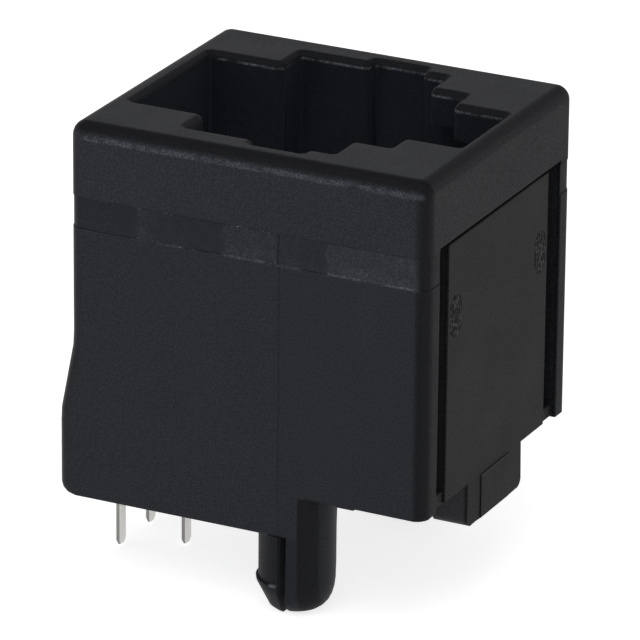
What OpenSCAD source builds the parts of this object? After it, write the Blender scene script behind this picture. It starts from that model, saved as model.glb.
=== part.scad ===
// Vertical six-position modular jack for a circuit board: a housing with the plug opening on top,
// a contact carrier loaded from below, and six formed strip contacts. Millimetres.
// The origin lies on the board, midway between the two pegs. +Z is up, +X is the latch side.

/* [Housing] */
// Length from the contact-side face to the latch-side face
housing_length = 15.5; // [15.3:0.1:18]
// Depth across the plug, from side face to side face
housing_depth = 13.3; // [12.9:0.1:15]
// Height above the board
housing_height = 15.65; // [15.2:0.05:17]
// Distance from the contact-side face to the peg axes
peg_reach = 9.4; // [9:0.1:10]
// Radius of the rounded outer edges
edge_radius = 0.6; // [0.2:0.05:0.7]
// Thickness of the two walls beside the plug
side_wall = 1.15; // [0.8:0.05:1.25]
// Thickness of the wall behind the contacts
contact_wall = 1; // [0.8:0.05:1.1]
// Height of the closed rim round the plug opening
rim_height = 2.93; // [2.5:0.01:3.2]
// How far the skirt stands out beyond the contact-side face
skirt_flare = 0.58; // [0.5:0.01:0.9]
// Thickness of the skirt's wall
skirt_wall = 0.65; // [0.5:0.05:0.7]
// Height at which the flare starts
skirt_top = 6.6; // [6.3:0.1:7.2]
// Height below which the skirt is upright
skirt_bottom = 3.3; // [2.6:0.1:3.6]
// Height of the lower edge on the latch side above the board
latch_side_lift = 1.8; // [1.2:0.1:2.2]

/* [Mould marks] */
// Depth of the shallow band round the housing
band_depth = 0.03; // [0.02:0.005:0.1]
// Distance of the band's upper edge from the top
band_drop = 3.05; // [2.6:0.05:3.6]
// Height of the band
band_height = 1.3; // [0.8:0.05:1.6]
// Step of the parting line on the side faces
parting_step = 0.01; // [0.01:0.01:0.06]
// Place of the parting line, towards the contacts from the peg axes
parting_offset = 0.2; // [0:0.1:1]
// Depth of the two ejector marks on the panel
mark_depth = 0.02; // [0.01:0.01:0.1]
// Distance of the ejector marks from the top
mark_drop = 6.2; // [5:0.1:8]

/* [Plug opening] */
// Distance from the contact-side face to the opening
opening_inset = 1.05; // [0.95:0.05:1.4]
// Width of the slot over the contacts
slot_width = 6.64; // [6.2:0.02:7]
// Length of the slot over the contacts
slot_reach = 3.25; // [2.9:0.05:3.4]
// Width of the plug space
plug_width = 10; // [9.8:0.05:10.4]
// Thickness of the plug space, from contact slot to latch step
plug_thickness = 6.38; // [6.2:0.02:6.6]
// Distance from the contact slot to the side reliefs
relief_start = 3.05; // [2:0.05:3.5]
// Length of the side reliefs
relief_length = 2.25; // [1.5:0.05:2.6]
// Width of the step for the latch shoulders
latch_width = 6.74; // [6.3:0.02:7.2]
// Length of the step for the latch shoulders
latch_reach = 1.62; // [1.2:0.02:1.8]
// Width of the slot for the latch lever
lever_width = 4.22; // [3.6:0.02:4.8]
// Thickness of the rim between the opening and the latch-side face
latch_wall = 0.85; // [0.65:0.05:1.2]
// Thickness of the ledges that hold the latch
ledge_thickness = 1.5; // [1.2:0.05:2]
// Radius of the rounded lead-in round the opening
lead_in = 0.3; // [0.1:0.05:0.35]
// Depth of the plug space below the top
plug_depth = 10.8; // [10.4:0.1:11.2]

/* [Board pegs] */
// Diameter of a peg
peg_diameter = 3.06; // [2.9:0.02:3.2]
// Distance of a peg's axis from the side face
peg_inset = 1.39; // [1.2:0.01:1.42]
// Length of a peg below the board plane
peg_length = 3.4; // [3:0.1:4]
// Width of the split through a peg
peg_split = 0.3; // [0.2:0.05:0.6]
// How far the barb stands proud
peg_barb = 0.1; // [0.05:0.01:0.15]
// Depth of the barb's lip below the board plane
barb_drop = 2; // [1.8:0.1:2.2]
// Height of the bosses that carry the pegs inside the walls
boss_height = 3.2; // [2.8:0.1:3.4]
// How much wider a boss is at its upper end than the peg
boss_draft = 0.06; // [0.03:0.01:0.1]

/* [Carrier] */
// Gap between the carrier and the housing
fit_gap = 0.08; // [0.04:0.01:0.12]
// Width of the panel on the latch side
panel_width = 9.16; // [8:0.02:9.8]
// How far the panel lies behind the housing's latch-side face
panel_setback = 0.09; // [0.02:0.01:0.2]
// Gap between the panel's upper edge and the rim
panel_gap = 0.15; // [0.08:0.01:0.3]
// Thickness of the panel
panel_thickness = 1.2; // [0.8:0.05:1.3]
// Height of the sills that close the slots beside the panel from below
sill_height = 0.55; // [0.3:0.05:1]
// How far the sills lie behind the panel's face
sill_setback = 0.1; // [0.05:0.01:0.3]
// Width of the foot that stands on the board
foot_width = 5; // [3:0.1:7]
// Thickness of the foot
foot_thickness = 1.5; // [1:0.05:1.8]
// Radius of the foot's lower corners
foot_radius = 0.4; // [0.2:0.05:0.6]
// Width of the flat pad in the middle of the foot
pad_width = 2.56; // [1.5:0.02:2.8]
// How far the pad stands out from the foot
pad_height = 0.04; // [0.02:0.01:0.08]
// Height of the tail plate's underside above the board
plate_lift = 0.6; // [0.3:0.1:1]
// Thickness of the plate that the tails pass through
plate_thickness = 2.4; // [1.8:0.1:2.5]
// Thickness of the floor below the plug
floor_thickness = 1.2; // [0.8:0.05:1.4]

/* [Contacts] */
// Thickness of the strip
strip_thickness = 0.2; // [0.16:0.01:0.26]
// Width of the strip
strip_width = 0.52; // [0.4:0.01:0.6]
// Spacing of the springs
contact_pitch = 1.02; // [0.95:0.01:1.08]
// Spacing of the tails across both rows
tail_pitch = 1.27; // [1.1:0.01:1.3]
// Distance between the two rows of tails
row_gap = 2.29; // [2:0.01:2.54]
// Distance of the outer row of tails from the contact-side face
tail_inset = 0.45; // [0.4:0.05:0.7]
// Length of the tails below the board plane
tail_length = 3.33; // [2.8:0.01:3.8]
// Radius of the bend over the contact wall
bend_radius = 0.75; // [0.6:0.05:0.8]
// Distance of the bend's centre below the top
bend_drop = 5.25; // [5:0.05:5.6]
// Angle of the spring arms from upright
arm_angle = 26; // [22:1:27]
// Gap round a strip in its groove or hole
strip_gap = 0.03; // [0.02:0.01:0.05]

/* [Hidden] */
$fn = 48;
plastic = [0.1, 0.1, 0.11];
gold = [0.83, 0.68, 0.35];
contact_count = 6;
beyond = 1; // how far a cut runs past the face that it opens
sink = 0.3; // how far an added form runs into what carries it
corner_steps = 6; // facets round a quarter circle
least_radius = 0.06; // corner radius left where the rounded top turns flat

// Main planes of the housing
contact_face = -peg_reach;
latch_face = contact_face + housing_length;
side_face = housing_depth / 2;
inner_side = side_face - side_wall;
wall_face = contact_face + contact_wall;
skirt_face = contact_face - skirt_flare + skirt_wall;
rim_z = housing_height - rim_height;
floor_z = housing_height - plug_depth;

// Steps of the plug opening along X
slot_x = contact_face + opening_inset;
plug_x = slot_x + slot_reach;
relief_x = plug_x + relief_start;
relief_end = relief_x + relief_length;
latch_x = plug_x + plug_thickness;
lever_x = latch_x + latch_reach;
opening_end = latch_face - latch_wall;
ledge_pocket_width = latch_width + 2.5;
relief_depth = inner_side - plug_width / 2;
step_radius = min(0.4, 0.65 * relief_depth); // radius of the corners that stand out into the opening
hollow_radius = min(0.15, 0.25 * relief_depth); // radius of the corners that run back from it
opening_steps = 4; // facets round a corner of the opening

// Pegs
peg_radius = peg_diameter / 2;
boss_radius = peg_radius + boss_draft;
peg_y = side_face - peg_inset;
peg_flat = sqrt(peg_radius * peg_radius - peg_inset * peg_inset); // half width of the flush flat
nose_start = 1.5; // depth at which the plain prong's nose starts
nose_power = 3.2; // outline of the nose: 2 is an ellipse, more is blunter
nose_steps = 9;
tip_radius = 0.85; // radius of the barbed prong's softened end

// Carrier
plate_face = skirt_face + fit_gap;
comb_face = wall_face + fit_gap;
carrier_width = 2 * (inner_side - fit_gap);
carrier_z = latch_side_lift + 0.05;
plate_top = plate_lift + plate_thickness;
step_x = -peg_radius - 0.4; // where the underside rises from the tail plate to the floor
panel_out = latch_face - panel_setback;
panel_in = panel_out - panel_thickness;
mark_z = housing_height - mark_drop;
mark_y = panel_width / 2 - 0.72;
mark_size = [1, 1.7];
snap_x = [plug_x + 0.7, plug_x + 2.7];
snap_z = [floor_z - 1.65, floor_z - 0.95];
snap_height = 0.22;
snap_room = 0.1; // play round a snap ridge in its recess
notch_x = panel_in - 2.2; // start of the notches behind the slots beside the panel
rib_x = [notch_x - 0.9, notch_x - 0.1];
rib_width = 0.35;
rib_z = carrier_z - 0.7;
core_width = 2 * (peg_y - boss_radius - 1);
core_web = 1; // width of the web between two core pockets

// Contacts
seat_half = [strip_thickness / 2 + strip_gap, strip_width / 2 + strip_gap]; // half of a groove or hole
riser_x = comb_face + seat_half[0];
groove_x = riser_x + seat_half[0];
bend_x = riser_x + bend_radius;
bend_z = housing_height - bend_drop;
bend_nose = bend_radius - seat_half[0]; // radius of the contact wall's rounded top
wall_foot = bend_x + bend_nose + 0.8;
fan_top = skirt_top - 0.4; // top of the pocket in which the contacts fan out
fan_width = (contact_count - 1) * tail_pitch + strip_width + 1;
turn = 0.6; // how far a corner of a contact is rounded along each leg
tail_x = [contact_face + tail_inset, contact_face + tail_inset + row_gap];
tip_dip = 0.45; // how far the spring tips reach below the floor
tip_slot_depth = 0.85;
arm_start = [bend_x + bend_radius * cos(arm_angle), bend_z + bend_radius * sin(arm_angle)];
arm_length = (arm_start[1] - floor_z + tip_dip) / cos(arm_angle);
tip_x = arm_start[0] + arm_length * sin(arm_angle);
strip_edge = 0.03; // size of the eased corners of the strip
strip_point = 0.6; // size of a contact's ends, as a share of the strip

function centred(i) = i - (contact_count - 1) / 2;
function spring_y(i) = centred(i) * contact_pitch;
function tail_y(i) = centred(i) * tail_pitch;
function unit(v) = v / norm(v);

// Ring of a rectangle with round corners, counter-clockwise seen from above
function round_ring(low, high, r, z) =
    [for (c = [[high[0] - r, high[1] - r, 0], [low[0] + r, high[1] - r, 90],
               [low[0] + r, low[1] + r, 180], [high[0] - r, low[1] + r, 270]])
        for (k = [0:corner_steps])
            let (a = c[2] + 90 * k / corner_steps)
                [c[0] + r * cos(a), c[1] + r * sin(a), z]];

// Solid skin through rings that have the same number of points
module loft(rings) {
    n = len(rings[0]);
    last = len(rings) - 1;
    points = [for (ring = rings) each ring];
    sides = [for (j = [0:last - 1]) for (i = [0:n - 1])
        let (a = j * n + i, b = j * n + (i + 1) % n)
            each [[a, a + n, b + n], [a, b + n, b]]];
    ends = [[for (i = [0:n - 1]) i], [for (i = [n - 1:-1:0]) last * n + i]];
    polyhedron(points, concat(sides, ends));
}

module box(low, high) {
    translate(low) cube(high - low);
}

// Extrudes an outline that is drawn in X and Z, centred along Y
module along_y(width) {
    rotate([90, 0, 0]) translate([0, 0, -width / 2]) linear_extrude(width) children();
}

module both_sides() {
    children();
    mirror([0, 1, 0]) children();
}

// Housing ring at height z, drawn in by inset, with the contact side pushed out by flare
function housing_ring(z, inset, flare) =
    round_ring([contact_face - flare + inset, inset - side_face], [latch_face - inset, side_face - inset],
               max(edge_radius - inset, least_radius), z);

// Outer block: upright skirt, flare, plain walls with the shallow band, and the rounded top
module housing_block() {
    skirt_round = 0.4;
    blend = 0.3;
    steps = 6;
    band_top = housing_height - band_drop;
    band_bottom = band_top - band_height;
    loft(concat(
        [for (k = [0:3]) let (a = 30 * k)
            housing_ring(skirt_round * (1 - cos(a)), 0, skirt_flare - skirt_round * (1 - sin(a)))],
        [housing_ring(skirt_bottom - blend, 0, skirt_flare)],
        [housing_ring(skirt_bottom + blend, 0, 0.95 * skirt_flare)],
        [housing_ring(skirt_top - blend, 0, 0.05 * skirt_flare)],
        [housing_ring(skirt_top + blend, 0, 0)],
        [for (z = [band_bottom, band_top]) for (d = [0, 1])
            housing_ring(z, (z == band_bottom ? d : 1 - d) * band_depth, 0)],
        [for (k = [0:steps]) let (a = 90 * k / steps)
            housing_ring(housing_height - edge_radius * (1 - sin(a)), edge_radius * (1 - cos(a)), 0)]));
}

// Space below the rim that takes the carrier: open below and on the latch side
module carrier_bay() {
    along_y(2 * inner_side)
        polygon([[wall_face, rim_z], [latch_face + beyond, rim_z], [latch_face + beyond, -beyond],
                 [skirt_face, -beyond], [skirt_face, skirt_bottom], [wall_face, skirt_top]]);
}

// Corners of the plug opening on one side, from the contact end to the latch end
opening_side =
    [[slot_x, slot_width / 2], [plug_x, slot_width / 2], [plug_x, plug_width / 2], [relief_x, plug_width / 2],
     [relief_x, inner_side], [relief_end, inner_side], [relief_end, plug_width / 2], [latch_x, plug_width / 2],
     [latch_x, latch_width / 2], [lever_x, latch_width / 2], [lever_x, lever_width / 2],
     [opening_end, lever_width / 2]];

// Ring of the whole opening, grown by some distance, with rounded corners, counter-clockwise from above
function opening_ring(grow, z) =
    let (n = len(opening_side),
         corners = concat([for (p = opening_side) [p[0], -p[1]]],
                          [for (k = [n - 1:-1:0]) opening_side[k]]),
         m = len(corners))
        [for (i = [0:m - 1])
            let (into = unit(corners[i] - corners[(i + m - 1) % m]),
                 out = unit(corners[(i + 1) % m] - corners[i]),
                 hollow = into[0] * out[1] - into[1] * out[0] > 0,
                 r = hollow ? hollow_radius + grow : max(step_radius - grow, least_radius),
                 corner = corners[i] + grow * [into[1] + out[1], -into[0] - out[0]],
                 centre = corner + r * (out - into))
                for (k = [0:opening_steps]) let (a = 90 * k / opening_steps)
                    let (p = centre + r * (into * sin(a) - out * cos(a)))
                        [p[0], p[1], z]];

// Plug opening through the rim and between the guides, with a rounded lead-in at the top
module plug_opening() {
    steps = 4;
    loft(concat(
        [opening_ring(0, floor_z - beyond)],
        [for (k = [0:steps]) let (a = 90 * k / steps)
            opening_ring(lead_in * (1 - cos(a)), housing_height - lead_in * (1 - sin(a)))],
        [opening_ring(lead_in, housing_height + beyond)]));
}

// Hollow below the ledges, where the latch shoulders spring out
module latch_pocket() {
    box([latch_x, -ledge_pocket_width / 2, rim_z - beyond],
        [opening_end, ledge_pocket_width / 2, housing_height - ledge_thickness]);
}

// Guides that narrow the space beside the plug, and beside the springs above the contact wall
module plug_guides() {
    spans = [[plug_x, relief_x], [relief_end, latch_x]];
    both_sides() {
        for (span = spans)
            box([span[0], plug_width / 2 - hollow_radius, floor_z + fit_gap],
                [span[1], inner_side + sink, rim_z + sink]);
        box([wall_face - sink, slot_width / 2 - hollow_radius, bend_z + bend_nose + fit_gap],
            [plug_x + sink, inner_side + sink, rim_z + sink]);
    }
}

module snap_recesses() {
    both_sides()
        box([snap_x[0] - snap_room, inner_side - beyond, snap_z[0] - snap_room],
            [snap_x[1] + snap_room, inner_side - fit_gap + snap_height + snap_room, snap_z[1] + snap_room]);
}

// Plain prong below its boss: straight, then a blunt nose
function plain_prong() =
    concat([[0, boss_height], [boss_radius, boss_height], [peg_radius, 0]],
           [for (k = [0:nose_steps]) let (a = 90 * k / nose_steps)
               [peg_radius * pow(cos(a), 2 / nose_power),
                -nose_start - (peg_length - nose_start) * pow(sin(a), 2 / nose_power)]]);

// Barbed prong below its boss: straight, a lip, then a cone with a softened end
function barbed_prong() =
    [[0, boss_height], [boss_radius, boss_height], [peg_radius, 0], [peg_radius, -barb_drop],
     [peg_radius + peg_barb, -barb_drop - 0.05], [peg_radius + 0.8 * peg_barb, -barb_drop - 0.2],
     [tip_radius + 0.26, -peg_length + 0.2], [tip_radius + 0.08, -peg_length + 0.05],
     [tip_radius - 0.12, -peg_length], [0, -peg_length]];

// Split peg on its boss. The boss and the plain prong have a flat that is flush with the side face.
module board_peg() {
    reach = 2 * peg_diameter;
    flat = peg_inset - parting_step / 2;
    translate([0, peg_y, 0]) difference() {
        union() {
            rotate_extrude(angle = 180, start = -90) polygon(plain_prong());
            rotate_extrude(angle = 180, start = 90) polygon(barbed_prong());
        }
        box([-peg_split / 2, -reach, -reach], [peg_split / 2, reach, 0]);
        box([-reach, flat, 0], [reach, reach, reach]);
        box([0, flat, -reach], [reach, reach, reach]);
    }
}

module housing() color(plastic) {
    difference() {
        union() {
            difference() {
                housing_block();
                carrier_bay();
            }
            plug_guides();
        }
        plug_opening();
        latch_pocket();
        snap_recesses();
        box([peg_flat, -side_face - beyond, -beyond], [latch_face + beyond, side_face + beyond, latch_side_lift]);
        both_sides()
            box([-parting_offset, side_face - parting_step, -beyond],
                [latch_face + beyond, side_face + beyond, housing_height - band_drop - band_height]);
    }
    both_sides() board_peg();
}

// Side view of the carrier: tail plate, contact wall with its rounded top, and the floor
module carrier_profile() {
    polygon(concat(
        [[plate_face, plate_lift], [plate_face, skirt_bottom], [comb_face, skirt_top], [comb_face, bend_z]],
        [for (a = [180:-15:0]) [bend_x + bend_nose * cos(a), bend_z + bend_nose * sin(a)]],
        [[wall_foot, floor_z], [panel_in + sink, floor_z], [panel_in + sink, carrier_z], [step_x, carrier_z],
         [step_x, plate_lift]]));
}

// Pocket in which the contacts spread from the springs to the two rows of tails
module fan_pocket() {
    along_y(fan_width)
        polygon([[plate_face - beyond, plate_top], [tail_x[1] + 0.5, plate_top],
                 [tail_x[1] + 0.5, plate_top + 0.4], [groove_x + 0.5, fan_top], [plate_face - beyond, fan_top]]);
}

// Groove, tail hole and tip slot of one contact
module contact_seat(i) {
    y = spring_y(i);
    half = seat_half[1];
    slot_half = half + strip_gap;
    tail = [tail_x[i % 2], tail_y(i)];
    box([comb_face - beyond, y - half, fan_top - sink], [groove_x, y + half, bend_z + beyond]);
    box(concat(tail - seat_half, plate_lift - beyond), concat(tail + seat_half, plate_top + beyond));
    box([wall_foot + 0.1, y - slot_half, floor_z - tip_slot_depth],
        [tip_x + strip_width, y + slot_half, floor_z + beyond]);
}

// Hollows in the underside that keep the walls even
module core_pockets() {
    both_sides() {
        box([step_x, core_web / 2, -beyond],
            [panel_in - floor_thickness, core_width / 2, floor_z - floor_thickness]);
        box([tail_x[1] + 1.3, core_web / 2, -beyond],
            [step_x - core_web, core_width / 2, floor_z - tip_slot_depth - core_web]);
    }
}

module snap_ridges() {
    side = carrier_width / 2;
    both_sides()
        translate([snap_x[0], 0, 0]) rotate([90, 0, 90]) linear_extrude(snap_x[1] - snap_x[0])
            polygon([[side - sink, snap_z[0]], [side, snap_z[0]], [side + snap_height, snap_z[1] - 0.15],
                     [side + snap_height, snap_z[1]], [side - sink, snap_z[1]]]);
}

// Foot below the panel, with rounded lower corners
module foot() {
    side = foot_width / 2;
    corner = [for (a = [0:15:90]) foot_radius * [1 - cos(a), 1 - sin(a)]];
    translate([panel_out - foot_thickness, 0, 0]) rotate([90, 0, 90]) linear_extrude(foot_thickness)
        polygon(concat([for (c = corner) [c[0] - side, c[1]]],
                       [for (k = [len(corner) - 1:-1:0]) [side - corner[k][0], corner[k][1]]],
                       [[side, carrier_z + sink], [-side, carrier_z + sink]]));
}

// Ejector mark: a shallow recess with round ends
module ejector_mark() {
    r = mark_size[0] / 2;
    lift = mark_size[1] / 2 - r;
    translate([panel_out - mark_depth, mark_y, mark_z]) rotate([0, 90, 0]) linear_extrude(beyond) {
        square([2 * lift, 2 * r], center = true);
        for (s = [-1, 1]) translate([s * lift, 0]) circle(r);
    }
}

module contact_carrier() color(plastic) difference() {
    union() {
        along_y(carrier_width) carrier_profile();
        box([panel_in, -panel_width / 2, carrier_z], [panel_out, panel_width / 2, rim_z - panel_gap]);
        box([panel_in, -carrier_width / 2, carrier_z],
            [panel_out - sill_setback, carrier_width / 2, carrier_z + sill_height]);
        foot();
        box([panel_out - sink, -pad_width / 2, 0], [panel_out + pad_height, pad_width / 2, carrier_z]);
        both_sides()
            box([rib_x[0], carrier_width / 2 - rib_width, rib_z], [rib_x[1], carrier_width / 2, carrier_z + sink]);
        snap_ridges();
    }
    fan_pocket();
    for (i = [0:contact_count - 1]) contact_seat(i);
    core_pockets();
    both_sides() {
        box([notch_x, panel_width / 2, carrier_z + sill_height],
            [panel_out + beyond, side_face, floor_z + beyond]);
        translate([0, peg_y, -beyond]) cylinder(r = boss_radius + fit_gap, h = boss_height + fit_gap + beyond);
        ejector_mark();
    }
}

// Rounded corner of a contact between two legs
function rounded(before, corner, after) =
    let (a = corner + turn * unit(before - corner), b = corner + turn * unit(after - corner))
        [for (k = [0:5]) let (s = k / 5) (1 - s) * (1 - s) * a + 2 * s * (1 - s) * corner + s * s * b];

// Middle line of a contact: tail, fan-out, riser, bend over the wall, spring arm
function contact_path(i) =
    let (y = spring_y(i),
         tail = [tail_x[i % 2], tail_y(i), -tail_length],
         low = [tail[0], tail[1], plate_top + turn],
         high = [riser_x, y, fan_top - turn],
         top = [riser_x, y, bend_z],
         tip = [tip_x, y, floor_z - tip_dip])
        concat([tail, tail + [0, 0, 0.2]], rounded(tail, low, high), rounded(low, high, top),
               [for (k = [0:10]) let (a = 180 - (180 - arm_angle) * k / 10)
                   [bend_x + bend_radius * cos(a), y, bend_z + bend_radius * sin(a)]],
               [tip - 0.12 * [sin(arm_angle), 0, -cos(arm_angle)], tip]);

// Section of the strip: thickness and width, with eased corners
strip_section =
    let (t = strip_thickness / 2, w = strip_width / 2, e = strip_edge)
        [[t, e - w], [t, w - e], [t - e, w], [e - t, w], [-t, w - e], [-t, e - w], [e - t, -w], [t - e, -w]];

// Strip along its path, with both ends pointed
module contact(i) {
    path = contact_path(i);
    last = len(path) - 1;
    color(gold) loft([for (k = [0:last])
        let (along = unit(path[min(k + 1, last)] - path[max(k - 1, 0)]),
             across = unit(cross([0, 1, 0], along)),
             up = cross(along, across),
             size = k == 0 || k == last ? strip_point : 1)
            [for (p = strip_section) path[k] + size * (across * p[0] + up * p[1])]]);
}

housing();
contact_carrier();
for (i = [1:contact_count])
    contact(i - 1);
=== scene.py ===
"""Looks of a black vertical modular jack: moulded plastic, strip contacts, mould marks, plain studio."""

import math
from types import SimpleNamespace

import bmesh
import bpy
import numpy as np
from bpy.props import FloatProperty, FloatVectorProperty, IntProperty, PointerProperty
from mathutils import Matrix, Vector


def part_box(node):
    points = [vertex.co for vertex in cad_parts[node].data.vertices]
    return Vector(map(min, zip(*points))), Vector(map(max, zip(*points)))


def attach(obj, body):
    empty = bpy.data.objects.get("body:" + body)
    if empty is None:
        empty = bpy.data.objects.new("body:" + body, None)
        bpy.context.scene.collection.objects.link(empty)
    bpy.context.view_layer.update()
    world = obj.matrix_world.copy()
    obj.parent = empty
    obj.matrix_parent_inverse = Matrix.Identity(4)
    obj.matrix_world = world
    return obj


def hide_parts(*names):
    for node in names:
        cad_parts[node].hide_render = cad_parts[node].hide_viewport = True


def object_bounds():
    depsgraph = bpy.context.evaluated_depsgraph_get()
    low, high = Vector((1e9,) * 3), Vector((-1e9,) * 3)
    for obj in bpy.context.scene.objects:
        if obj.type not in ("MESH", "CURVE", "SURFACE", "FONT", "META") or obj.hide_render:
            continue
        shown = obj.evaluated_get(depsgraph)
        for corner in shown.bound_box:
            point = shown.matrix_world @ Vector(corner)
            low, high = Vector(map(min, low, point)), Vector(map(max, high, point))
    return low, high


bl_info = {
    "name": "Modular jack looks",
    "version": (1, 0, 0),
    "blender": (4, 5, 0),
    "location": "View3D > Sidebar > Jack",
    "description": "Dresses the packed modular jack and sets up its studio",
    "category": "Object",
}

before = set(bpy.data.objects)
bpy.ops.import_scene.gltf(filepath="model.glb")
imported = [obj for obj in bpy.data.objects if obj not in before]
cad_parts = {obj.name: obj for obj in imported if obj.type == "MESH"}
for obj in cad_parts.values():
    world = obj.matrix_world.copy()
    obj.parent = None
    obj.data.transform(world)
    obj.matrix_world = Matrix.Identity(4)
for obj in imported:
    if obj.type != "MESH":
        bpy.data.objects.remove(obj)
CAD_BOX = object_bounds()
MM = 0.001
BODY = "root"
PICTURE_SIDE = 640
SENSOR_WIDTH = 36.0
CLIP_START = 0.01
HOUSING_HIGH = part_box("housing")[1]
CONTACTS = sorted(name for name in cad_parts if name[-1].isdigit())

# Faces of the housing that its marks and the camera are set from, in millimetres
CONTACT_FACE = -9.4
WALL_SIDE = 6.65

# Folds above the first angle stay sharp, and those below the second are merged away
SHARP_ANGLE = math.radians(32)
FLAT_ANGLE = math.radians(0.4)
# Corners of CAD triangles, or at a grid's poles, that lie this close together are one
CAD_MERGE = 2e-6
POLE_MERGE = 1e-8
# A face has room for softened edges when it is this many times as wide as they are
BEVEL_ROOM = 4

# How far past the start of the corners' rounding, in corner radii, their painted shade (the dull, weakly
# reflecting copy of the plastic) sets in and is full
CORNER_SHADE_X = (-0.08, 0.5)
CORNER_SHADE_Y = (0.04, 0.36)
CORNER_SHADE_Z = (0.28, 0.55)
# The same measure for the places that count as the outer faces
OUTER_FACES = (0.8, 0.88)
# Share of the grain's contrast that stays where a surface is quiet
QUIET_GRAIN = 0.25
# Darkest tone that the grain may reach
DARKEST = 0.1

# Tones along the band from the contact side to the latch side: share of the way, tone
GLOSSY_START, GLOSSY_END = 0.726, 0.97
BAND_PATCHES = (
    (0.0, 0.3), (0.19, 0.28), (0.2, 0.6), (0.235, 0.56), (0.26, 0.34), (0.43, 0.32), (0.445, 0.76),
    (0.585, 0.84), (0.59, 0.42), (0.64, 0.52), (0.655, 0.4), (0.72, 0.46), (GLOSSY_START, 1.0),
    (GLOSSY_END, 0.94), (0.985, 0.5))
# The same for the painted highlight on the band's lower edge
BAND_HIGHLIGHT = (
    (0.0, 0.3), (0.17, 0.3), (0.19, 1.0), (0.32, 0.9), (0.34, 0.15), (0.44, 0.2), (0.46, 0.8),
    (0.57, 0.8), (0.59, 0.9), (0.65, 0.7), (0.66, 0.1), (0.715, 0.1), (0.725, 1.0), (0.96, 0.9),
    (0.98, 0.2))

# Flash on the band's upper and lower edge: start and end along X in millimetres, thickness
UPPER_FLASH = ((-9.0, -7.2, 0.5), (-6.6, -5.6, 0.8), (-5.5, -4.7, 1.2), (-2.6, -1.3, 1.2),
               (-1.2, -0.25, 0.9), (0.1, 1.1, 0.6))
LOWER_FLASH = ((-6.2, -3.4, 0.7), (-3.2, -1.0, 0.8), (-0.9, 0.2, 0.7), (1.85, 3.6, 0.7), (3.7, 5.4, 0.6))
# How pale the specks on the flash and on the ejector marks are
FLASH_PALE, EJECT_PALE = 1, 0.45
# Range of the ragged waves' pitches, in radians per millimetre
RAGGED_PITCH = (4, 38)

# Light of the studio by the height of the direction, from level to straight up
SKY = ((0.0, 1.0), (0.12, 1.0), (0.36, 0.66), (0.62, 0.2), (0.8, 0.26), (1.0, 0.28))
# Soft boxes: name, azimuth and elevation in degrees, width in metres, radiance, colour
LAMPS = (("top front", 10, 62, 0.2, 1.2, (1, 1, 1)),
         ("front left", -60, 12, 0.16, 1.2, (0.92, 0.96, 1)))


def length(name, description, default_mm):
    """A length property whose default is given in millimetres."""
    return FloatProperty(name=name, description=description, default=default_mm * MM,
                         unit="LENGTH", subtype="DISTANCE", precision=6)


def share(name, description, default):
    """A property from 0 to 1."""
    return FloatProperty(name=name, description=description, default=default,
                         min=0, max=1, subtype="FACTOR")


def plain(name, description, default):
    """A property that is a plain number."""
    return FloatProperty(name=name, description=description, default=default)


def colour(name, description, default):
    """A colour property in linear light."""
    return FloatVectorProperty(name=name, description=description, default=default, size=3,
                               min=0, max=1, subtype="COLOR")


def angle(name, description, default):
    """An angle property whose default is given in degrees."""
    return FloatProperty(name=name, description=description, default=math.radians(default),
                         unit="ROTATION", subtype="ANGLE", precision=4)


class JackPlastic(bpy.types.PropertyGroup):
    """Finish of the black mouldings."""

    housing_colour: colour("Housing", "Colour of the housing's plastic", (0.0115, 0.0120, 0.0143))
    carrier_colour: colour("Carrier", "Colour of the carrier's plastic", (0.0100, 0.0096, 0.0104))
    # Painted fill light: a bluish tone that lifts the shade deep in the plug opening and on the carrier
    # inside it
    opening_fill_colour: colour("Inside", "Colour of the plastic in the plug opening", (0.0108, 0.0124, 0.0160))
    flash_colour: colour("Flash", "Colour of the stressed flash on the mould marks", (0.17, 0.175, 0.185))
    gloss_tint: colour("Reflection tint", "Tint of the reflection on the satin walls", (0.77, 0.85, 1.0))
    roughness: share("Roughness", "Roughness of the satin walls", 0.55)
    shine: share("Shine", "Strength of the reflection on the satin walls", 0.22)
    dull_shine: share("Dull shine", "Strength of the reflection on the corners and the latch face", 0.066)
    dull_reach: length("Dull reach", "How far before the latch face its dull finish starts", 0.2)
    grain_size: length("Grain size", "Size of the fine grain on the walls, twice that of its specks", 0.08)
    grain_height: length("Grain height", "Height of the fine grain", 0.006)
    grain_tone: plain("Grain tone", "How much the fine grain changes the tone", 4.0)
    speck_height: length("Speck height", "Height of the specks in the grain", 0.003)
    speck_tone: plain("Speck tone", "How much the specks change the tone", 2.6)
    cloud_size: length("Cloud size", "Size of the faint clouds on the walls", 2.6)
    cloud_height: length("Cloud height", "Height of the faint clouds", 0.012)
    cloud_tone: plain("Cloud tone", "How much the clouds change the tone", 0.9)
    cloud_roughness: share("Cloud roughness", "How much the clouds change the roughness", 0.16)
    edge_width: length("Edge softening", "Width of the softening along sharp edges", 0.06)
    edge_steps: IntProperty(name="Edge steps", description="Segments across a softened edge",
                            default=2, min=1)


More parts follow.
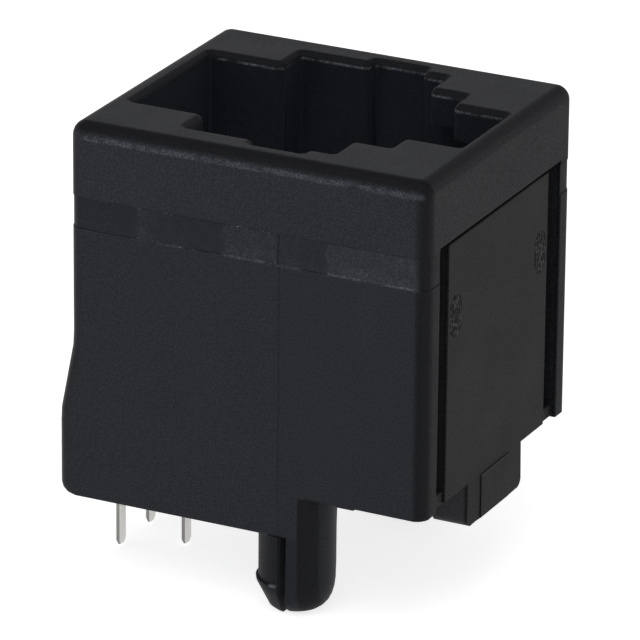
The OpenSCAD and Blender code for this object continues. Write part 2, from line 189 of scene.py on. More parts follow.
class JackMarks(bpy.types.PropertyGroup):
    """Marks that the mould left on the walls."""

    band_top: length("Band top", "Upper edge of the shallow band, above the board", 12.6)
    band_bottom: length("Band bottom", "Lower edge of the shallow band, above the board", 11.3)
    patch_wander: length("Patch wander", "Size of the mottle that frays the band's patches", 0.5)
    streak_size: length("Streak size", "Size of the breaks in the bright lines", 0.7)
    contact_face: length("Contact face", "Place of the face behind the contacts, along X", CONTACT_FACE)
    skirt_flare: length("Skirt flare", "How far the skirt stands out beyond that face", 0.58)
    flare_bottom: length("Flare bottom", "Height at which the skirt starts to lean in", 3.0)
    flare_top: length("Flare top", "Height at which the skirt meets that face", 6.9)
    wall_side: length("Wall side", "Distance of the side walls' faces from the middle", WALL_SIDE)
    corner_radius: length("Corner radius", "Radius of the housing's rounded corners", 0.6)
    lead_in: length("Lead-in", "Radius of the rounded edge of the plug opening", 0.3)
    opening_floor: length("Opening floor", "Height at which the plug opening ends", 4.7)
    opening_side: length("Opening side", "Distance from the middle that holds the opening's walls", 5.7)
    contact_margin: length("Contact margin", "Distance of the opening's walls from the contact face", 0.9)
    latch_margin: length("Latch margin", "Distance of the opening's walls from the latch face", 0.7)
    rim_start: length("Rim start", "Distance from the contact face at which the rim catches light", 1.25)
    peg_flat: length("Peg flat", "Half width of the flat on a peg", 0.64)
    boss_top: length("Boss top", "Height at which the boss above a peg ends", 1.72)
    boss_side: length("Boss side", "Place along X from which a boss turns to the light", 1.28)
    cleft_half: length("Cleft half", "Half width of the cleft in a peg", 0.16)
    barb_bottom: length("Barb bottom", "Lower edge of the bright line on a peg's barb", -2.1)
    barb_top: length("Barb top", "Upper edge of that line", -2.0)
    barb_start: length("Barb start", "Start of that line along X", -0.5)
    smear_start: length("Smear start", "Start of the faint smear below the band, along X", 3.2)
    smear_end: length("Smear end", "End of that smear along X", 4.0)
    smear_bottom: length("Smear bottom", "Height at which that smear starts", 8.4)
    smear_top: length("Smear top", "Height at which that smear ends", 11.2)
    crack: length("Parting crack", "Place of the parting crack in the band, along X", -0.24)
    flash_height: length("Flash height", "Height of the ragged flash on the band's edges", 0.045)
    flash_speck: length("Flash speck", "Size of the specks on that flash", 0.07)
    panel_face: length("Panel face", "Place of the carrier panel's outer face, along X", 6.01)
    foot_top: length("Foot top", "Height above the board at which the carrier's foot ends", 1.85)
    slot_side: length("Slot side", "Distance of the slots beside the panel from the middle", 4.5)
    pad_side: length("Pad side", "Half width of the raised pad on the foot", 1.28)
    depth_start: length("Depth start", "Place along X before which the carrier lies in the opening", 4.7)
    eject_width: length("Ejector width", "Width of an ejector mark on the panel", 1.1)
    eject_height: length("Ejector height", "Height of an ejector mark on the panel", 1.9)
    eject_side: length("Ejector side", "Distance of an ejector mark from the middle", 3.86)
    eject_drop: length("Ejector drop", "Distance of an ejector mark below the top", 6.26)
    eject_speck: length("Ejector speck", "Size of the specks on an ejector mark", 0.15)
    eject_depth: length("Ejector depth", "Depth of the recess that holds an ejector mark", 0.02)


class JackContacts(bpy.types.PropertyGroup):
    """Finish of the strip contacts."""

    gold_colour: colour("Gold", "Colour of the plated springs", (0.86, 0.62, 0.27))
    tin_colour: colour("Tin", "Colour of the tinned tails", (0.66, 0.65, 0.63))
    plating_height: length("Plating height", "Height above the board at which the gold plating starts", 2.6)
    # Darkening of the strip's sides facing along Y: partly their sheared metal, partly painted shade
    edge_shade: share("Edge shade", "How much darker the sheared edges of the strip are", 0.6)
    roughness: share("Roughness", "Roughness of the bright gold", 0.24)
    tarnish_roughness: share("Tarnish roughness", "Roughness that the tarnish adds", 0.16)
    dull_roughness: share("Dull roughness", "Roughness that tin or a sheared edge adds", 0.1)
    line_size: length("Line size", "Width of the rolling lines", 0.05)
    line_height: length("Line height", "Height of the rolling lines", 0.002)
    tarnish_size: length("Tarnish size", "Size of the tarnish spots", 0.4)


class JackStudio(bpy.types.PropertyGroup):
    """Camera, floor and lamps."""

    azimuth: angle("Azimuth", "Turn of the camera round the jack", 26.311)
    elevation: angle("Elevation", "How far the camera looks down", 21.446)
    roll: angle("Roll", "Tilt of the picture", -0.545)
    corner: FloatVectorProperty(name="Corner", description="Corner that the camera is set from",
                                default=(CONTACT_FACE * MM, -WALL_SIDE * MM, 0),
                                size=3, subtype="TRANSLATION")
    distance: length("Distance", "Distance of the camera from that corner", 255.368)
    offset_right: length("Offset right", "Picture centre, right of that corner", 9.907)
    offset_down: length("Offset down", "Picture centre, below that corner", -6.884)
    focal_pixels: plain("Focal length", "Focal length in picture pixels", 6460.99)
    floor_colour: colour("Floor", "Colour of the pale floor", (0.80, 0.80, 0.80))
    floor_radius: length("Floor radius", "Radius of the floor", 1500)
    floor_glow: share("Floor glow", "Share of plain white that the floor shows by itself", 0.75)
    lamp_distance: length("Lamp distance", "Distance of the lamps from the jack", 250)


class Flow:
    """A socket of a material; arithmetic on it adds Math nodes."""

    def __init__(self, paint, socket):
        self.paint = paint
        self.socket = socket

    def math(self, operation, *terms):
        """One Math node on this socket and further terms."""
        return self.paint.node("Math", {"operation": operation}, dict(enumerate((self, *terms))))

    def __add__(self, other):
        return self.math("ADD", other)

    __radd__ = __add__

    def __mul__(self, other):
        return self.math("MULTIPLY", other)

    __rmul__ = __mul__

    def __sub__(self, other):
        return self.math("SUBTRACT", other)

    def __rsub__(self, other):
        return self.paint.node("Math", {"operation": "SUBTRACT"}, {0: other, 1: self})

    def __abs__(self):
        return self.math("ABSOLUTE")

    def most(self, other):
        """The larger of two values."""
        return self.math("MAXIMUM", other)

    def rise(self, low, high):
        """0 below low, 1 above high, and a smooth step between them."""
        return self.paint.node("MapRange", {"interpolation_type": "SMOOTHSTEP"},
                               {"Value": self, "From Min": low, "From Max": high})

    def past(self, place, soft):
        """0 up to a place, and a smooth step to 1 over a soft stretch after it."""
        return self.rise(place, place + soft)

    def within(self, low, high, soft):
        """1 between low and high, with soft ends."""
        return self.rise(low - soft, low + soft) * (1 - self.rise(high - soft, high + soft))

    def blend(self, first, second):
        """The first value where this is 0, the second where it is 1, and a mix between them."""
        return first + (second - first) * self

    def ramp(self, stops):
        """A grey that follows (place, value) stops."""
        return self.paint.node("ValToRGB", {"stops": stops}, {0: self})


class Paint:
    """Node tree of one material or world, with one method that adds any node."""

    def __init__(self, owner):
        owner.use_nodes = True
        self.tree = owner.node_tree
        self.tree.nodes.clear()

    def node(self, kind, settings, inputs, output=0):
        """Adds a shader node: its settings and ramp stops come first, then its sockets."""
        made = self.tree.nodes.new("ShaderNode" + kind)
        stops = settings.pop("stops", ())
        for key, value in settings.items():
            setattr(made, key, value)
        for number, (place, grey) in enumerate(stops):
            if number >= len(made.color_ramp.elements):
                made.color_ramp.elements.new(1)
            made.color_ramp.elements[number].position = place
            made.color_ramp.elements[number].color = (grey, grey, grey, 1)
        for key, value in inputs.items():
            if isinstance(value, Flow):
                self.tree.links.new(value.socket, made.inputs[key])
            else:
                made.inputs[key].default_value = value
        return Flow(self, made.outputs[output]) if made.outputs else None

    def places(self):
        """The part's own coordinates: the vector, and X, Y and Z in millimetres."""
        vector = self.node("TexCoord", {}, {}, "Object")
        axes = [self.node("SeparateXYZ", {}, {0: vector}, axis) * (1 / MM) for axis in "XYZ"]
        return vector, *axes

    def noise(self, vector, size, detail=2.0, stretch=(1, 1, 1)):
        """Noise from 0 to 1 whose blobs are about size metres wide, squeezed by a factor per axis."""
        turned = self.node("Mapping", {}, {"Vector": vector, "Scale": stretch})
        return self.node("TexNoise", {}, {"Vector": turned, "Scale": 1 / size, "Detail": detail})

    def facing(self, axis, start, full):
        """0 to 1 as the surface turns to face along an axis, either way, by its normal's part there."""
        normal = self.node("TexCoord", {}, {}, "Normal")
        return abs(self.node("SeparateXYZ", {}, {0: normal}, axis)).rise(start, full)

    def tint(self, base, amount):
        """A colour multiplied by a value."""
        return self.node("Mix", {"data_type": "RGBA", "blend_type": "MULTIPLY"},
                         {0: 1.0, 6: base, 7: amount}, 2)

    def mix(self, factor, first, second):
        """A colour mixed towards a second one."""
        return self.node("Mix", {"data_type": "RGBA"}, {0: factor, 6: first, 7: second}, 2)

    def bump(self, height_mm):
        """Normal of a height field that is given in millimetres."""
        return self.node("Bump", {}, {"Strength": 1.0, "Distance": MM, "Height": height_mm})


def rgba(values):
    """A colour with full opacity."""
    return (*values, 1.0)


def in_mm(marks):
    """The marks' lengths in millimetres, with the housing's latch face and top."""
    lengths = {key: getattr(marks, key) / MM for key in JackMarks.__annotations__}
    return SimpleNamespace(latch_face=HOUSING_HIGH.x / MM, top=HOUSING_HIGH.z / MM, **lengths)


def black_plastic(name, look, base, latch_face, marks, add_marks):
    """Black plastic with fine grain: satin walls, dull on the latch face and where the marks paint shade,
    and mixed towards a bluish painted fill colour where the marks paint fill light.
    """
    material = bpy.data.materials.new(name)
    paint = Paint(material)
    places = paint.places()
    vector, x, *_ = places
    grain = paint.noise(vector, look.grain_size, 3.0) - 0.5
    specks = paint.noise(vector, look.grain_size / 2, 1.0) - 0.5
    clouds = paint.noise(vector, look.cloud_size, 3.0) - 0.5
    tone = 1.0 + look.grain_tone * grain + look.speck_tone * specks + look.cloud_tone * clouds
    rough = look.roughness + look.cloud_roughness * clouds
    height = look.grain_height * grain + look.speck_height * specks + look.cloud_height * clouds
    dull = x.past((latch_face - look.dull_reach) / MM, soft=0.08)
    finish = (tone.most(DARKEST), rough, height * (1 / MM), dull)
    tone, rough, height, dull, opening_fill = add_marks(paint, in_mm(marks), places, finish)
    # Painted fill light: the colour turns to the opening's fill colour where the marks ask for it
    hue = paint.mix(opening_fill, rgba(base), rgba(look.opening_fill_colour))
    shared = {"Base Color": paint.tint(hue, tone), "Roughness": rough, "Normal": paint.bump(height)}
    satin = paint.node("BsdfPrincipled", {}, {
        **shared, "Specular IOR Level": look.shine, "Specular Tint": rgba(look.gloss_tint)})
    matt = paint.node("BsdfPrincipled", {}, {**shared, "Specular IOR Level": look.dull_shine})
    # The dull copy reflects weakly, and the marks use it as painted shade
    surface = paint.node("MixShader", {}, {0: dull, 1: satin, 2: matt})
    paint.node("OutputMaterial", {}, {"Surface": surface})
    return material


def calmed(tone, quiet):
    """A tone that loses most of the grain's contrast where the surface is quiet."""
    return 1 + (tone - 1) * quiet.blend(1, QUIET_GRAIN)


def corner_shares(mm, places):
    """How far a point lies past the start of the corners' rounding along X, Y and Z, in corner radii."""
    _, x, y, z = places
    radius = mm.corner_radius
    skirt = mm.contact_face - mm.skirt_flare + mm.skirt_flare * z.rise(mm.flare_bottom, mm.flare_top)
    past_x = (x - (mm.latch_face - radius)).most(skirt + radius - x)
    past_y = abs(y) - (mm.wall_side - radius)
    past_z = z - (mm.top - radius)
    return past_x * (1 / radius), past_y * (1 / radius), past_z * (1 / radius)


def opening_zones(mm, places):
    """The plug opening: the depth below the top, the painted shade on its lead-in strip, and the walls
    under it, which get painted fill light.
    """
    _, x, y, z = places
    strip_start, strip_end, strip_shade = 0.012, 0.78 * mm.lead_in, 0.9
    walls_full = 1.3 * mm.lead_in
    depth = mm.top - z
    # Painted shade: the lead-in's strip gets the dull, weakly reflecting copy
    strip = strip_shade * depth.within(strip_start, strip_end, soft=0.01)
    walls = depth.rise(mm.lead_in, walls_full) * z.past(mm.opening_floor, soft=0.1)
    walls = walls * (1 - abs(y).past(mm.opening_side, soft=0.06))
    first, last = mm.contact_face + mm.contact_margin, mm.latch_face - mm.latch_margin
    return depth, strip, walls * x.within(first, last, soft=0.04)


def peg_zones(mm, places):
    """The pegs: how much painted shade, by the dull copy, they and their bosses get on each side, and the
    cleft between a peg's halves.
    """
    _, x, _, z = places
    # Painted shade: the part facing front and right is dull, the part turned to the light less so
    boss_left, boss_right = 0.9, 0.3
    peg_left, peg_right = 0.85, 0.35
    boss = (1 - z.past(mm.boss_top, soft=0.07)) * x.past(mm.peg_flat - 0.03, soft=0.08)
    boss = boss * x.past(mm.boss_side, soft=0.08).blend(boss_left, boss_right)
    below_board = 1 - z.past(-0.06, soft=0.06)
    peg = below_board * x.rise(-0.02, 0.02).blend(peg_left, peg_right)
    cleft = below_board * x.within(-mm.cleft_half, mm.cleft_half, soft=0.015)
    return boss.most(peg), cleft


def painted_highlights(mm, places, near_x, near_y, depth, across):
    """Strength of the painted highlights along edges: the walls' top corner, the lead-in and the pegs'
    barbs.
    """
    _, x, _, z = places
    corner_light, barb_light = 2.5, 10
    rim_along, rim_across = 6.5, 1.5
    radius, lead = mm.corner_radius, mm.lead_in
    corner = depth.within(0.74 * radius, 1.1 * radius, soft=0.06) * near_y.rise(0.7, 0.8)
    rim = depth.within(0.78 * lead, 1.08 * lead, soft=0.03) * (1 - near_x.most(near_y).rise(-0.6, -0.3))
    rim = rim * x.past(mm.contact_face + mm.rim_start, soft=0.35) * across.blend(rim_along, rim_across)
    barb = z.within(mm.barb_bottom, mm.barb_top, soft=0.02)
    barb = barb * x.within(mm.barb_start, -mm.cleft_half, soft=0.05)
    return corner_light * corner + rim + barb_light * barb


def band_marks(paint, mm, places, outside, streak):
    """The band's mask, and what it changes: a factor on the tone, and amounts for roughness and height.

    Patches and a broken painted highlight follow the ramps along X, a crack parts the band, a painted
    shadow line runs along its upper edge, and the walls above it are paler than those below.
    """
    vector, x, y, z = places
    low, high = mm.band_bottom, mm.band_top
    patch_range, patch_least = 2, 0.5
    patch_fray, crack_fray = 0.04, 0.3
    crack_half, crack_depth, crack_below = 0.05, 0.85, 0.08
    line_light, line_least, line_haze = 2.6, 0.4, 0.1
    upper_shade_tone, upper_broken = 0.3, 0.3
    above_light, wall_dark, later_dark = 0.28, 0.08, 0.08
    gloss, patch_height, crack_height = 0.06, 0.03, 0.02

    band = z.within(low, high, soft=0.02) * outside
    below = 1 - z.past(low - 0.1, soft=0.1)
    mottle = paint.noise(vector, mm.patch_wander * MM, 3.0)
    fray = mottle - 0.5
    along = (x - mm.contact_face) * (1 / (mm.latch_face - mm.contact_face)) + patch_fray * fray
    patches = along.ramp(BAND_PATCHES) * patch_range * (patch_least + mottle)
    from_crack = x - (mm.crack + crack_fray * fray)
    split = from_crack.within(-crack_half, crack_half, soft=0.03)
    split = split * abs(y).past(mm.wall_side - 0.2, soft=0.1)
    later = below * from_crack.rise(-crack_half, crack_half)
    # Painted highlight on the band's up-facing lower edge, with a faint haze above it
    line = z.within(low - 0.03, low + 0.06, soft=0.02) * (line_least + streak) * along.ramp(BAND_HIGHLIGHT)
    line = (line + line_haze * z.within(low, low + 0.4, soft=0.2)) * outside
    # Painted shadow line along the band's down-facing upper edge, broken by the streak noise
    upper = z.within(high - 0.03, high + 0.04, soft=0.02) * outside * streak.blend(1, upper_broken)

    tone = band.blend(1, patches) * (1 - split * (crack_depth * band + crack_below * below))
    walls = above_light * z.rise(high - 0.04, high + 0.04) - wall_dark - later_dark * later
    tone = tone * (1 + outside * walls) * (1 + line_light * line) * upper.blend(1, upper_shade_tone)
    rough = -gloss * band * along.within(GLOSSY_START, GLOSSY_END, soft=0.004)
    height = band * (patch_height * mottle - crack_height * split)
    return band, tone, rough, height


def housing_marks(paint, mm, places, finish):
    """Adds painted shade by the dull copy on corners, lead-in and pegs, painted fill light on the opening's
    walls, painted highlights, a smear and the band to the finish.
    """
    vector, x, _, z = places
    tone, rough, height, dull = finish
    smear_tone, cleft_fill_light, corner_gloss, band_quiet = 1.25, 3, 0.1, 0.35
    wall_light, wall_fade, wall_across = 0.1, 0.4, 0.8
    near_x, near_y, near_z = corner_shares(mm, places)
    near_side = near_x.most(near_y)
    # Painted shade on the rounded corners: they get the dull, weakly reflecting copy
    upright_shade = near_x.rise(*CORNER_SHADE_X) * near_y.rise(*CORNER_SHADE_Y)
    corner = upright_shade.most(near_side.rise(*CORNER_SHADE_Y) * near_z.rise(*CORNER_SHADE_Z))
    outside = near_side.rise(*OUTER_FACES)
    across = paint.facing("X", 0.75, 0.97)
    streak = paint.noise(vector, mm.streak_size * MM, 2.0).rise(0.36, 0.6)
    smear = x.within(mm.smear_start, mm.smear_end, soft=0.4) * outside
    smear = smear * z.within(mm.smear_bottom, mm.smear_top, soft=0.7)
    depth, strip, walls = opening_zones(mm, places)
    peg, cleft = peg_zones(mm, places)
    lines = painted_highlights(mm, places, near_x, near_y, depth, across)
    band, band_tone, band_rough, band_height = band_marks(paint, mm, places, outside, streak)

    quiet = corner.most(strip).most(peg).most(walls)
    # lines holds the painted highlights, broken by the streak noise
    tone = calmed(tone, quiet.most(band_quiet * band)) * band_tone * (1 + lines * streak)
    # Painted light in the shaded cleft: its walls are lightened threefold
    tone = tone * smear.blend(1, smear_tone) * cleft.blend(1, cleft_fill_light)
    # Painted fill light on the opening's walls: lighter deeper down and where they face along X
    tone = tone * (1 + walls * (wall_light + wall_fade * depth + wall_across * across))
    rough = rough - corner_gloss * corner + band_rough
    return tone, rough, height + band_height, dull.most(quiet), walls


def carrier_marks(_paint, mm, places, finish):
    """Adds painted light: lighter foot and slot sides, a painted highlight on the pad's top edge, and
    painted fill light on the carrier inside the opening.
    """
    _, x, y, z = places
    tone, rough, height, dull = finish
    slot_light, depth_light, foot_light, pad_light = 0.9, 3.5, 1.5, 2
    behind = 1 - x.past(mm.panel_face - 0.12, soft=0.06)
    foot = (1 - z.past(mm.foot_top - 0.06, soft=0.06)) * behind
    slot = abs(y).past(mm.slot_side, soft=0.06) * z.past(mm.foot_top + 0.5, soft=0.1) * behind
    pad_highlight = z.within(mm.foot_top - 0.06, mm.foot_top + 0.02, soft=0.02)
    pad_highlight = pad_highlight * (1 - abs(y).past(mm.pad_side, soft=0.04))
    pad_highlight = pad_highlight * x.past(mm.panel_face - 0.02, soft=0.03)
    depths = (1 - x.past(mm.depth_start, soft=0.08)) * z.past(mm.opening_floor, soft=0.1)
    # Painted fill light in the shaded slots and inside the opening
    tone = calmed(tone, slot.most(depths)) * (1 + slot_light * slot + depth_light * depths)
    # Painted light on the foot's sides and a painted highlight on the pad's top edge
    tone = tone + foot_light * foot + pad_light * pad_highlight
    return tone, rough, height, dull.most(depths), depths


def speckled_plastic(name, look, base, speck_size, pale, shine):
    """Torn or stressed plastic: rough, with pale specks and dark pits in its own colour."""
    material = bpy.data.materials.new(name)
    paint = Paint(material)
    vector, *_ = paint.places()
    pit_size, pit_tone, speck_height = 1.3 * speck_size, 0.25, 0.01
    smoothest, roughest = 0.5, 0.8
    specks = paint.noise(vector, speck_size, 3.0)
    pits = paint.noise(vector, pit_size, 1.0).rise(0.4, 0.55)
    hue = paint.mix(pale * specks.rise(0.44, 0.62), rgba(base), rgba(look.flash_colour))
    shader = paint.node("BsdfPrincipled", {}, {
        "Base Color": paint.tint(hue, pits.blend(pit_tone, 1)),
        "Roughness": specks.blend(smoothest, roughest),
        "Specular IOR Level": shine,
        "Normal": paint.bump(speck_height * specks),
    })
    paint.node("OutputMaterial", {}, {"Surface": shader})
    return material


def plated_strip(name, contacts):
    """Stamped strip: tinned tail, gold-plated spring above it, rolling lines, and sides facing along Y that
    are rougher as sheared edges and darker as painted shade.
    """
    material = bpy.data.materials.new(name)
    paint = Paint(material)
    vector, _, _, z = paint.places()
    plating_fray = 0.5
    line_stretch = (1, 1, 0.06)
    plain_tone, line_tone, tarnish_tone = 0.8, 0.2, 0.1
    # Sides facing along Y: rougher as sheared edges, darker as painted shade
    sheared = paint.facing("Y", 0.75, 0.9)
    lines = paint.noise(vector, contacts.line_size, 2.0, line_stretch)
    tarnish = paint.noise(vector, contacts.tarnish_size, 3.0)
    gold = (z + plating_fray * tarnish).past(contacts.plating_height / MM, soft=0.5)
    plating = paint.mix(gold, rgba(contacts.tin_colour), rgba(contacts.gold_colour))
    tone = plain_tone + line_tone * lines + tarnish_tone * tarnish
    rough = contacts.roughness + contacts.tarnish_roughness * tarnish
    shader = paint.node("BsdfPrincipled", {}, {
        "Base Color": paint.tint(plating, tone * sheared.blend(1, 1 - contacts.edge_shade)),
        "Metallic": 1.0,
        "Roughness": rough + contacts.dull_roughness * (1 - gold + sheared),
        "Normal": paint.bump(contacts.line_height / MM * lines),
    })
    paint.node("OutputMaterial", {}, {"Surface": shader})
    return material


def new_piece(name, mesh, material):
    """Links a mesh as a piece of the jack that rides on its one body."""
    mesh.materials.clear()
    mesh.materials.append(material)
    piece = bpy.data.objects.new(name, mesh)
    bpy.context.scene.collection.objects.link(piece)
    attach(piece, BODY)
    return piece


def merged_copy(node, flat_angle):
    """Mesh of a CAD node with its loose triangles merged and its flat ones joined."""
    shape = bmesh.new()
    shape.from_mesh(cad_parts[node].data)
    bmesh.ops.remove_doubles(shape, verts=shape.verts, dist=CAD_MERGE)
    if flat_angle:
        bmesh.ops.dissolve_limit(shape, angle_limit=flat_angle, verts=shape.verts, edges=shape.edges)
    mesh = bpy.data.meshes.new(node + "_shape")
    shape.to_mesh(mesh)
    shape.free()
    for attribute in [a.name for a in mesh.attributes if a.name == "custom_normal"]:
        mesh.attributes.remove(mesh.attributes[attribute])
    mesh.shade_smooth()
    return mesh


def soften_sharp_edges(mesh, room):
    """Gives full bevel weight to each sharp outer edge between wide faces: width = area / longest side."""
    shape = bmesh.new()
    shape.from_mesh(mesh)
    weight = shape.edges.layers.float.new("bevel_weight_edge")
    width = {face: face.calc_area() / max(edge.calc_length() for edge in face.edges)
             for face in shape.faces}
    for edge in shape.edges:
        sharp = edge.is_manifold and edge.is_convex and edge.calc_face_angle() > SHARP_ANGLE
        edge[weight] = float(sharp and min(width[face] for face in edge.link_faces) > room)
    shape.to_mesh(mesh)
    shape.free()


def moulding(node, look, material):
    """Stands for a moulded CAD node: the same form, with softened edges and smooth rounded corners."""
    mesh = merged_copy(node, FLAT_ANGLE)
    mesh.set_sharp_from_angle(angle=SHARP_ANGLE)
    soften_sharp_edges(mesh, BEVEL_ROOM * look.edge_width)
    piece = new_piece(node + "_moulding", mesh, material)
    soft = piece.modifiers.new("Soft edges", "BEVEL")
    soft.limit_method = "WEIGHT"
    soft.width = look.edge_width
    soft.segments = look.edge_steps
    soft.use_clamp_overlap = False
    normals = piece.modifiers.new("Even shading", "WEIGHTED_NORMAL")
    normals.keep_sharp = True
    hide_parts(node)
    return piece


def closed_grid(name, points):
    """Mesh of closed rings: points has shape (shells, rows, columns, 3), and end rows shrink to poles."""
    shells, rows, columns, _ = points.shape
    row, column = np.meshgrid(np.arange(rows - 1), np.arange(columns), indexing="ij")
    after = (column + 1) % columns
    quads = np.stack([row * columns + column, row * columns + after,
                      (row + 1) * columns + after, (row + 1) * columns + column], axis=-1).reshape(-1, 4)
    faces = (quads[None] + np.arange(shells)[:, None, None] * rows * columns).reshape(-1, 4)
    mesh = bpy.data.meshes.new(name)
    mesh.from_pydata(points.reshape(-1, 3).tolist(), [], faces.tolist())
    shape = bmesh.new()
    shape.from_mesh(mesh)
    bmesh.ops.remove_doubles(shape, verts=shape.verts, dist=POLE_MERGE)
    bmesh.ops.recalc_face_normals(shape, faces=shape.faces)
    shape.to_mesh(mesh)
    shape.free()
    mesh.shade_smooth()
    return mesh


def ragged(places, waves, seed):
    """Sum of sines with seeded pitches and phases, about -1 to 1, along places in millimetres."""
    draw = np.random.default_rng(seed)
    pitch = draw.uniform(*RAGGED_PITCH, waves)
    phase = draw.uniform(0, 2 * np.pi, waves)
    return np.sin(places[..., None] * pitch + phase).mean(axis=-1) * np.sqrt(waves)


class JACK_OT_housing(bpy.types.Operator):
    """Dresses the one-piece housing with its pegs"""

    bl_idname = "jack.housing"
    bl_label = "Housing"

    def execute(self, context):
        look, marks = context.scene.jack_plastic, context.scene.jack_marks
        satin = black_plastic("housing satin", look, look.housing_colour, HOUSING_HIGH.x,
                              marks, housing_marks)
        moulding("housing", look, satin)
        return {"FINISHED"}


class JACK_OT_carrier(bpy.types.Operator):
    """Dresses the contact carrier with its panel and foot"""

    bl_idname = "jack.carrier"
    bl_label = "Contact carrier"

    def execute(self, context):
        look, marks = context.scene.jack_plastic, context.scene.jack_marks
        satin = black_plastic("carrier satin", look, look.carrier_colour, marks.panel_face,
                              marks, carrier_marks)
        moulding("contact_carrier", look, satin)
        return {"FINISHED"}


class JACK_OT_contacts(bpy.types.Operator):
    """Dresses the six formed strip contacts"""

    bl_idname = "jack.contacts"
    bl_label = "Contacts"

    def execute(self, context):
        plating = plated_strip("plated strip", context.scene.jack_contacts)
        for node in CONTACTS:
            piece = new_piece(node + "_strip", merged_copy(node, 0), plating)
            piece.data.set_sharp_from_angle(angle=SHARP_ANGLE)
            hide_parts(node)
        return {"FINISHED"}


class JACK_OT_mould_flash(bpy.types.Operator):
    """Adds the ragged flash along the edges of the housing's band"""

    bl_idname = "jack.mould_flash"
    bl_label = "Mould flash"

    def execute(self, context):
        look, marks = context.scene.jack_plastic, context.scene.jack_marks
        mm = in_mm(marks)
        edges = ((mm.band_top, UPPER_FLASH), (mm.band_bottom, LOWER_FLASH))
        spans = [(*span, height) for height, flash in edges for span in flash]
        slivers = [self.sliver(span, face * mm.wall_side, mm.flash_height, 10 * count + face)
                   for count, span in enumerate(spans) for face in (-1, 1)]
        mesh = closed_grid("mould_flash_shape", np.array(slivers) * MM)
        plastic = speckled_plastic("stressed flash", look, look.housing_colour, marks.flash_speck,
                                   FLASH_PALE, look.shine)
        new_piece("mould_flash", mesh, plastic)
        return {"FINISHED"}

    @staticmethod
    def sliver(span, wall, size, seed):
        """Ellipses carried along X on a wall: radius = size * thickness * sqrt(4u(1-u)) * ragged part."""
        start, end, thickness, z = span
        rows, columns = 61, 8
        plain_part, ragged_part, thinnest = 0.55, 0.45, 0.1
        flatness, sunk, wander = 0.55, 0.02, 0.3
        along = np.linspace(0, 1, rows)[:, None]
        around = np.linspace(0, 2 * np.pi, columns, endpoint=False)[None, :]
        x = start + (end - start) * along
        taper = size * np.sqrt(4 * along * (1 - along))
        swell = thickness * taper * (plain_part + ragged_part * ragged(x, 6, seed + 50))
        swell = np.maximum(swell, thinnest * taper)
        y = wall + np.sign(wall) * (flatness * swell * np.cos(around) - sunk)
        height = z + wander * size * ragged(x, 4, seed + 90) + swell * np.sin(around)
        return np.stack(np.broadcast_arrays(x, y, height), axis=-1)


class JACK_OT_ejector_marks(bpy.types.Operator):
    """Adds the two rough ejector marks on the panel"""

    bl_idname = "jack.ejector_marks"
    bl_label = "Ejector marks"

    def execute(self, context):
        look, marks = context.scene.jack_plastic, context.scene.jack_marks
        pads = np.array([self.pad(marks, side) for side in (-1, 1)])
        mesh = closed_grid("ejector_marks_shape", pads)
        plastic = speckled_plastic("torn plastic", look, look.carrier_colour, marks.eject_speck,
                                   EJECT_PALE, look.dull_shine)
        new_piece("ejector_marks", mesh, plastic)
        return {"FINISHED"}

    @staticmethod
    def pad(marks, side):
        """Closed pad: an oval of radius sin(v) and height |cos(v)|^flat, with ragged waves on its face."""
        rows, columns, flat = 49, 64, 0.35
        half, half_ragged, turn_pitch = 0.47, 0.03, 0.3
        crown_height, crown_ragged, lowest = 1.9, 0.9, -0.8
        v = np.linspace(0, np.pi, rows)[:, None]
        turn = np.linspace(0, 2 * np.pi, columns, endpoint=False)[None, :]
        edge = half + half_ragged * ragged(turn * turn_pitch, 5, 7 + side)
        y = side * marks.eject_side + marks.eject_width * edge * np.sin(v) * np.cos(turn)
        z = HOUSING_HIGH.z - marks.eject_drop + marks.eject_height * edge * np.sin(v) * np.sin(turn)
        face = marks.panel_face - marks.eject_depth
        steep_slant = y / MM * 0.9 + 2.3 * z / MM
        flat_slant = z / MM * 0.8 - 1.7 * y / MM
        rough = ragged(steep_slant, 8, 3) * ragged(flat_slant, 8, 4)
        crown = np.where(np.cos(v) > 0, crown_height + crown_ragged * np.clip(rough, lowest, 1), -1)
        x = face + marks.eject_depth * crown * np.abs(np.cos(v)) ** flat
        return np.stack(np.broadcast_arrays(x, y, z), axis=-1)


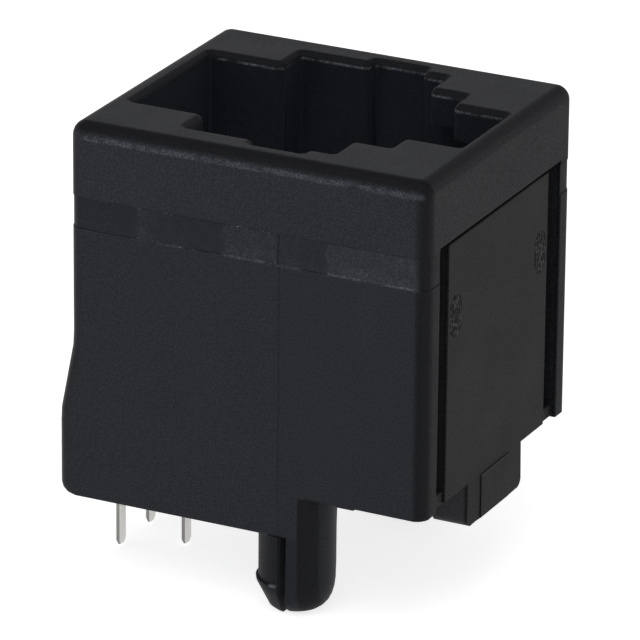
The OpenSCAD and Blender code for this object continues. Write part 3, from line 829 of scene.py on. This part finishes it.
class JACK_OT_stage(bpy.types.Operator):
    """Sets the floor, the lamps, the studio and the camera"""

    bl_idname = "jack.stage"
    bl_label = "Stage"

    def execute(self, context):
        studio = context.scene.jack_studio
        self.floor(studio)
        self.surroundings(context.scene)
        for settings in LAMPS:
            self.lamp(studio, *settings)
        self.camera(context.scene, studio)
        context.scene.view_settings.view_transform = "Standard"
        return {"FINISHED"}

    @staticmethod
    def floor(studio):
        """Pale disc under the pegs: camera, gloss and glass see its own white, and it keeps the shadow."""
        corners = 96
        turn = np.linspace(0, 2 * np.pi, corners, endpoint=False)
        rim = np.stack([np.cos(turn), np.sin(turn), 0 * turn], axis=-1) * studio.floor_radius
        mesh = bpy.data.meshes.new("floor_shape")
        mesh.from_pydata((rim + (0, 0, CAD_BOX[0][2])).tolist(), [], [list(range(corners))])
        material = bpy.data.materials.new("pale floor")
        paint = Paint(material)
        rays = [paint.node("LightPath", {}, {}, kind)
                for kind in ("Is Camera Ray", "Is Glossy Ray", "Is Transmission Ray")]
        seen = rays[0].most(rays[1]).most(rays[2])
        matte = paint.node("BsdfDiffuse", {}, {"Color": rgba(studio.floor_colour)})
        glow = paint.node("Emission", {}, {"Strength": seen * studio.floor_glow})
        paint.node("OutputMaterial", {}, {"Surface": paint.node("AddShader", {}, {0: matte, 1: glow})})
        mesh.materials.append(material)
        floor = bpy.data.objects.new("floor", mesh)
        bpy.context.scene.collection.objects.link(floor)

    @staticmethod
    def surroundings(scene):
        """Studio round the jack: white at eye level, darker above."""
        world = bpy.data.worlds.new("studio")
        scene.world = world
        paint = Paint(world)
        direction = paint.node("TexCoord", {}, {}, "Generated")
        up = paint.node("SeparateXYZ", {}, {0: direction}, "Z")
        glow = up.ramp(SKY)
        sky = paint.node("Background", {}, {"Color": glow, "Strength": 1.0})
        paint.node("OutputWorld", {}, {"Surface": sky})

    @staticmethod
    def lamp(studio, name, azimuth, elevation, width, radiance, tint):
        """Square soft box that faces the jack; azimuth 0 lies straight before the front wall."""
        data = bpy.data.lights.new(name, "AREA")
        data.shape = "SQUARE"
        data.size = width
        data.color = tint
        data.energy = radiance * math.pi * width * width
        turn, rise = math.radians(azimuth), math.radians(elevation)
        toward = Vector((math.sin(turn) * math.cos(rise), -math.cos(turn) * math.cos(rise),
                         math.sin(rise)))
        box = bpy.data.objects.new(name, data)
        centre = (Vector(CAD_BOX[0]) + Vector(CAD_BOX[1])) / 2
        box.location = centre + toward * studio.lamp_distance
        box.rotation_euler = toward.to_track_quat("Z", "Y").to_euler()
        bpy.context.scene.collection.objects.link(box)

    @staticmethod
    def camera(scene, studio):
        """Camera at the picture's angle, set from a corner of the housing and a focal length in pixels."""
        turn, drop, roll = studio.azimuth, studio.elevation, studio.roll
        ahead = Vector((-math.sin(turn) * math.cos(drop), math.cos(turn) * math.cos(drop), -math.sin(drop)))
        level = Vector((math.cos(turn), math.sin(turn), 0))
        under = ahead.cross(level)
        right = math.cos(roll) * level + math.sin(roll) * under
        down = math.cos(roll) * under - math.sin(roll) * level
        place = (Vector(studio.corner) + studio.offset_right * right + studio.offset_down * down
                 - studio.distance * ahead)
        data = bpy.data.cameras.new("camera")
        data.sensor_fit = "HORIZONTAL"
        data.sensor_width = SENSOR_WIDTH
        data.lens = studio.focal_pixels * SENSOR_WIDTH / PICTURE_SIDE
        data.clip_start = CLIP_START
        camera = bpy.data.objects.new("camera", data)
        turned = Matrix((right, -down, -ahead)).transposed().to_4x4()
        camera.matrix_world = Matrix.Translation(place) @ turned
        scene.collection.objects.link(camera)
        scene.camera = camera


OPERATORS = (JACK_OT_housing, JACK_OT_carrier, JACK_OT_contacts, JACK_OT_mould_flash,
             JACK_OT_ejector_marks, JACK_OT_stage)
SETTINGS = {"jack_plastic": JackPlastic, "jack_marks": JackMarks, "jack_contacts": JackContacts,
            "jack_studio": JackStudio}


class JACK_PT_looks(bpy.types.Panel):
    """Lists the jack's operators and settings"""

    bl_idname = "JACK_PT_looks"
    bl_label = "Modular jack"
    bl_space_type = "VIEW_3D"
    bl_region_type = "UI"
    bl_category = "Jack"

    def draw(self, context):
        for operator in OPERATORS:
            self.layout.operator(operator.bl_idname)
        for name, group in SETTINGS.items():
            box = self.layout.box()
            for key in group.__annotations__:
                box.prop(getattr(context.scene, name), key)


CLASSES = (*SETTINGS.values(), *OPERATORS, JACK_PT_looks)


def register():
    """Registers the classes and hangs the settings on the scene."""
    for one in CLASSES:
        bpy.utils.register_class(one)
    for name, group in SETTINGS.items():
        setattr(bpy.types.Scene, name, PointerProperty(type=group))


def unregister():
    """Takes the settings and the classes away again."""
    for name in SETTINGS:
        delattr(bpy.types.Scene, name)
    for one in reversed(CLASSES):
        bpy.utils.unregister_class(one)


def main():
    """Builds every piece and the stage."""
    register()
    bpy.ops.jack.stage()
    bpy.ops.jack.housing()
    bpy.ops.jack.carrier()
    bpy.ops.jack.contacts()
    bpy.ops.jack.mould_flash()
    bpy.ops.jack.ejector_marks()


if __name__ == "__main__":
    main()
